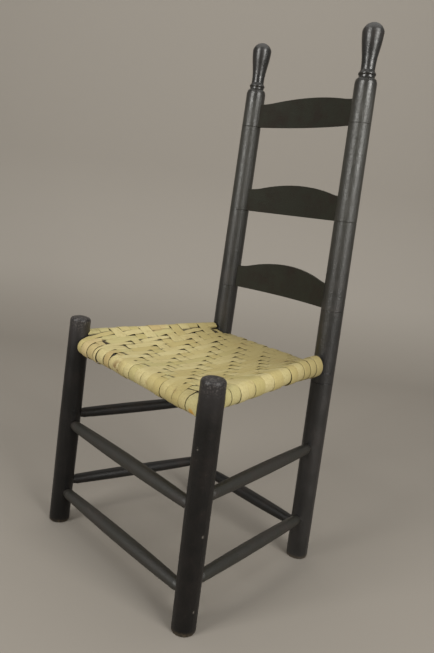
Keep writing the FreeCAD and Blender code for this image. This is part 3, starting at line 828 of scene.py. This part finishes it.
def painted_wood(name, grain_axis, base, gloss, sheen, shift, top_highlight=False, chips=()):
    """Old black paint over grain that runs along one axis, worn thin in places.

    gloss is the roughness and sheen the specular level. top_highlight is for the front posts,
    whose tops get a painted highlight with light specks.
    """
    shader = Shader(name)
    stands = grain_axis == 2
    height = shader.axis("Z")
    place = shader.place((1, 1, 1), shift)
    cloud = shader.noise(place, CLOUD_SCALE, 5.0, 0.6)
    grain = shader.noise(shader.place(along_axis(grain_axis, *GRAIN_SCALES), shift),
                         1.0, 3.0, 0.6)
    pits = shader.noise(place, PIT_SCALE, 2.0, 0.5)
    colour = shader.mix(shader.ramp(cloud, 0.42, 0.72, 0.0, 0.6), base, WORN_PAINT)
    colour = shader.mix(shader.ramp(grain, 0.62, 0.8, 0.0, 0.35), colour, DARK_GRAIN)
    scuff = shader.times(shader.ramp(pits, 0.66, 0.74), shader.ramp(cloud, 0.5, 0.62))
    colour = shader.mix(shader.times(scuff, sheen), colour, SCUFFED_PAINT)
    if stands:
        # Painted shade: the posts darken towards the floor, where less light falls
        colour = shader.mix(shader.ramp(height, *PAINTED_SHADE_BLACK_RANGE, 0.7, 0.0), colour,
                            PAINTED_SHADE_BLACK)
        # Painted sheen: the upper posts lighter below the finials, between the highlights
        painted_sheen = shader.times(shader.ramp(height, *PAINTED_SHEEN_FROM, 0.0, 0.8),
                           shader.ramp(height, *PAINTED_SHEEN_UNTIL, 1.0, 0.15))
        colour = shader.mix(painted_sheen, colour, PAINTED_SHEEN_GREY)
    # Painted highlight on the front posts' tops: lighter paint and light specks
    if top_highlight:
        colour = shader.mix(shader.ramp(height, *TOP_HIGHLIGHT_RANGE, 0.0, 0.6), colour,
                            TOP_HIGHLIGHT_GREY)
        glints = shader.times(shader.ramp(height, *TOP_GLINT_RANGE), shader.ramp(pits, 0.5, 0.64))
        colour = shader.mix(shader.times(glints, 0.5), colour, TOP_GLINT)
    for chip in chips:
        flaked = shader.times(shader.near(chip, *CHIP_FADE), shader.ramp(pits, 0.4, 0.55))
        colour = shader.mix(flaked, colour, CHIP_COLOUR)
    foot = shader.plus(height, shader.times(cloud, FOOT_WAVER))
    worn = shader.times(shader.ramp(foot, *FOOT_RANGE, 1.0, 0.0),
                        shader.ramp(pits, 0.35, 0.6, 0.2, 0.9))
    colour = shader.mix(worn, colour, BARE_WOOD)
    rough = shader.plus(shader.ramp(cloud, 0.3, 0.7, gloss - 0.05, gloss + 0.1),
                        shader.ramp(pits, 0.4, 0.7, 0.0, 0.08))
    if stands:
        # The finials are smoother and glossier, except for their dull caps
        rough = shader.plus(rough, shader.ramp(height, *FINIAL_RANGE, 0.0, -0.1))
        rough = shader.plus(rough, shader.ramp(height, *CAP_RANGE, 0.0, 0.25))
        pits = shader.times(pits, shader.ramp(height, *FINIAL_RANGE, 1.0, 0.45))
    normal = shader.bump(grain, 0.35, 0.0006)
    normal = shader.bump(cloud, 0.3, 0.0010, normal)
    normal = shader.bump(pits, 0.9, 0.0007, normal)
    return shader.finish(colour, rough, sheen, normal)


# Splint
PALE_SPLINT = srgb(202, 190, 140)
DEEP_SPLINT = srgb(183, 168, 112)
GREEN_SPLINT = srgb(178, 172, 118)
STREAKED_SPLINT = srgb(168, 150, 98)
TAN_SPLINT = srgb(184, 156, 112)
FAR_SPLINT = srgb(156, 142, 94)
STAINED_SPLINT = srgb(164, 144, 94)
BLOTCHED_SPLINT = srgb(150, 122, 84)
FIBRE_SPLINT = srgb(152, 133, 86)
AMBER_SPLINT = srgb(200, 154, 70)
SPOTTED_SPLINT = srgb(128, 98, 58)
# Dark colour of the painted shade under the neighbouring strips
SHADED_SPLINT = srgb(34, 25, 13)
# Scales of the noise: across and along the fibres and the streaks, of the stains and of
# the blotches
FIBRE_SCALES = (900.0, 14.0)
STREAK_SCALES = (300.0, 7.0)
STAIN_SCALE = 16.0
BLOTCH_SCALE = 75.0
# Range of Y over which the seat grows darker towards the back, in metres
FAR_RANGE = (-0.02, 0.14)
AMBER_FADE = (0.004, 0.010)
SPOTS_FADE = (0.006, 0.024)


def splint(name, run_axis):
    """Thin shaved strip with long fibres, each strip its own tone, and painted shade where it
    runs under its neighbours
    """
    shader = Shader(name)
    tint = shader.node("ShaderNodeVertexColor", layer_name="tint")
    split = shader.node("ShaderNodeSeparateColor")
    shader.link(tint.outputs["Color"], split.inputs[0])
    deep, green, tan = split.outputs[:3]
    shade = shader.node("ShaderNodeAttribute", attribute_name="shade").outputs["Fac"]
    fibre = shader.noise(shader.place(along_axis(run_axis, *FIBRE_SCALES)), 1.0, 3.0, 0.6)
    stain = shader.noise(shader.place((1, 1, 1)), STAIN_SCALE, 4.0, 0.6)
    blotch = shader.noise(shader.place((1, 1, 1), (3.1, 1.7, 0.4)), BLOTCH_SCALE, 3.0, 0.6)
    streak = shader.noise(shader.place(along_axis(run_axis, *STREAK_SCALES), (0.7, 0.2, 0.9)),
                          1.0, 2.0, 0.5)
    spots = shader.times(shader.near(STAINED_WRAP, *SPOTS_FADE),
                         shader.ramp(blotch, 0.42, 0.58, 0.2, 0.9))
    colour = shader.mix(deep, PALE_SPLINT, DEEP_SPLINT)
    for share, tone in ((shader.ramp(green, 0.5, 1.0, 0.0, 0.4), GREEN_SPLINT),
                        (shader.ramp(streak, 0.5, 0.7, 0.0, 0.4), STREAKED_SPLINT),
                        (shader.ramp(tan, 0.84, 1.0, 0.0, 0.4), TAN_SPLINT),
                        (shader.ramp(shader.axis("Y"), *FAR_RANGE, 0.0, 0.9), FAR_SPLINT),
                        (shader.ramp(stain, 0.5, 0.8, 0.0, 0.5), STAINED_SPLINT),
                        (shader.ramp(blotch, 0.58, 0.75, 0.0, 0.35), BLOTCHED_SPLINT),
                        (shader.ramp(fibre, 0.5, 0.78, 0.0, 0.5), FIBRE_SPLINT),
                        (shader.near(AMBER_END, *AMBER_FADE), AMBER_SPLINT),
                        (spots, SPOTTED_SPLINT),
                        # Painted shade where the strip lies under its neighbours
                        (shader.times(shade, 0.95), SHADED_SPLINT)):
        colour = shader.mix(share, colour, tone)
    rough = shader.ramp(fibre, 0.3, 0.7, 0.48, 0.66)
    normal = shader.bump(fibre, 0.4, 0.0004)
    normal = shader.bump(stain, 0.3, 0.002, normal)
    return shader.finish(colour, rough, 0.35, normal)


def finish_node(node, material):
    """Give a solid its material, with smooth shading"""
    mesh_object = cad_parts[node]
    if mesh_object.material_slots:
        for slot in mesh_object.material_slots:
            slot.material = material
    else:
        mesh_object.data.materials.append(material)
    for polygon in mesh_object.data.polygons:
        polygon.use_smooth = True


def wood_finish(node):
    """Grain axis, paint, roughness and specular level of a wooden piece"""
    if node.startswith("back_post"):
        return 2, BLACK_PAINT, 0.36, 0.85
    if node.startswith("front_post"):
        return 2, BLACK_PAINT, 0.34, 0.35
    if node.endswith("slat"):
        return 0, FLAT_PAINT, 0.62, 0.2
    grain_axis = 1 if node.startswith(("left", "right")) else 0
    # The right and rear rungs get the darker black paint as painted shade, on the side away from
    # the lights
    if node.startswith(("right", "rear")):
        return grain_axis, BLACK_PAINT, 0.46, 0.5
    return grain_axis, SATIN_PAINT, 0.46, 0.7


# Wood, with the noise shifted from piece to piece
PIECE_SHIFT = (0.37, 0.53, 0.71)
for index, node in enumerate(sorted(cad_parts)):
    if node.startswith("seat_"):
        continue
    shift = tuple(index * step for step in PIECE_SHIFT)
    finish_node(node, painted_wood(node + "_paint", *wood_finish(node), shift,
                                   top_highlight=node.startswith("front_post"),
                                   chips=CHIPS if node == "front_post_left" else ()))

# Seat
open_cells()
row_data, column_data = ([], [], [], []), ([], [], [], [])
for row in range(ROW_COUNT - 1):
    strip_mesh(build_row(row), True, row_data)
strip_mesh(build_end_row(ROW_COUNT - 1), False, row_data)
for column in range(COLUMN_COUNT):
    strip_mesh(*build_column(column), column_data)
weft = splint_object("weft_splint", row_data, splint("splint_side_to_side", 0))
warp = splint_object("warp_splint", column_data, splint("splint_front_to_back", 1))
for piece, node in ((weft, "seat_weft"), (warp, "seat_warp")):
    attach(piece, "root")
    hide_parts(node)

# Camera
forward = Vector((-math.sin(CAMERA_AZIMUTH) * math.cos(CAMERA_PITCH),
                  math.cos(CAMERA_AZIMUTH) * math.cos(CAMERA_PITCH), math.sin(CAMERA_PITCH)))
level_right = Vector((math.cos(CAMERA_AZIMUTH), math.sin(CAMERA_AZIMUTH), 0))
level_up = level_right.cross(forward)
right = level_right * math.cos(CAMERA_ROLL) + level_up * math.sin(CAMERA_ROLL)
up = level_up * math.cos(CAMERA_ROLL) - level_right * math.sin(CAMERA_ROLL)
camera_data = bpy.data.cameras.new("camera")
camera_data.lens = CAMERA_LENS
camera_data.clip_start = CAMERA_CLIP_START
camera = bpy.data.objects.new("camera", camera_data)
bpy.context.collection.objects.link(camera)
turn = Matrix((right, up, -forward)).transposed().to_4x4()
camera.matrix_world = Matrix.Translation(CAMERA_PLACE) @ turn
bpy.context.scene.camera = camera

# Floor that curves up into a backdrop behind the chair, seen from the camera
FLOOR_REACH = 6.0
BACKDROP_DISTANCE = 1.5
BEND_RADIUS = 0.9
BACKDROP_HEIGHT = 4.0
BEND_STEPS = 16
FLOOR_COLOUR = srgb(151, 145, 137)
WALL_COLOUR = srgb(166, 160, 152)
WALL_BLEND = (-0.02, 0.3)
profile = [(-FLOOR_REACH, 0.0), (BACKDROP_DISTANCE, 0.0)]
for step in range(1, BEND_STEPS + 1):
    angle = math.pi / 2 * step / BEND_STEPS
    profile.append((BACKDROP_DISTANCE + BEND_RADIUS * math.sin(angle),
                    BEND_RADIUS * (1 - math.cos(angle))))
profile.append((BACKDROP_DISTANCE + BEND_RADIUS, BACKDROP_HEIGHT))
away = Vector((forward.x, forward.y, 0)).normalized()
sideways = Vector((away.y, -away.x, 0))
vertices, faces = [], []
for distance, height in profile:
    for side in (-FLOOR_REACH, FLOOR_REACH):
        vertices.append(away * distance + sideways * side + Vector((0, 0, height)))
for index in range(len(profile) - 1):
    faces.append((2 * index, 2 * index + 1, 2 * index + 3, 2 * index + 2))
stage_mesh = bpy.data.meshes.new("stage")
stage_mesh.from_pydata(vertices, [], faces)
for polygon in stage_mesh.polygons:
    polygon.use_smooth = True
stage = bpy.data.objects.new("stage", stage_mesh)
bpy.context.collection.objects.link(stage)
stage_shader = Shader("stage_paper")
stage_colour = stage_shader.mix(stage_shader.ramp(stage_shader.axis("Z"), *WALL_BLEND),
                                FLOOR_COLOUR, WALL_COLOUR)
stage_mesh.materials.append(stage_shader.finish(stage_colour, 0.9, 0.1, None))


# Lights
LIGHT_COLOUR = (1, 0.985, 0.945)
WORLD_COLOUR = (1, 0.985, 0.96, 1)
WORLD_STRENGTH = 0.24
CHAIR_CENTRE = (0, 0, 0.6)


def area_light(name, place, target, size, energy):
    data = bpy.data.lights.new(name, "AREA")
    data.shape = "RECTANGLE"
    data.size, data.size_y = size
    data.energy = energy
    data.color = LIGHT_COLOUR
    lamp = bpy.data.objects.new(name, data)
    bpy.context.collection.objects.link(lamp)
    lamp.location = place
    lamp.rotation_euler = (Vector(target) - Vector(place)).to_track_quat("-Z", "Y").to_euler()


area_light("left_softbox", (-0.1, -3.0, 1.9), CHAIR_CENTRE, (1.1, 2.2), 64.64)
area_light("right_softbox", (3.0, -0.1, 1.9), CHAIR_CENTRE, (1.4, 2.2), 78.78)
area_light("overhead", (-0.5, 0.6, 3.8), (-0.5, 0.6, 0), (4.0, 4.0), 46.46)
world = bpy.data.worlds.new("world")
world.use_nodes = True
background = world.node_tree.nodes["Background"]
background.inputs["Color"].default_value = WORLD_COLOUR
background.inputs["Strength"].default_value = WORLD_STRENGTH
bpy.context.scene.world = world
bpy.context.scene.view_settings.view_transform = "Standard"
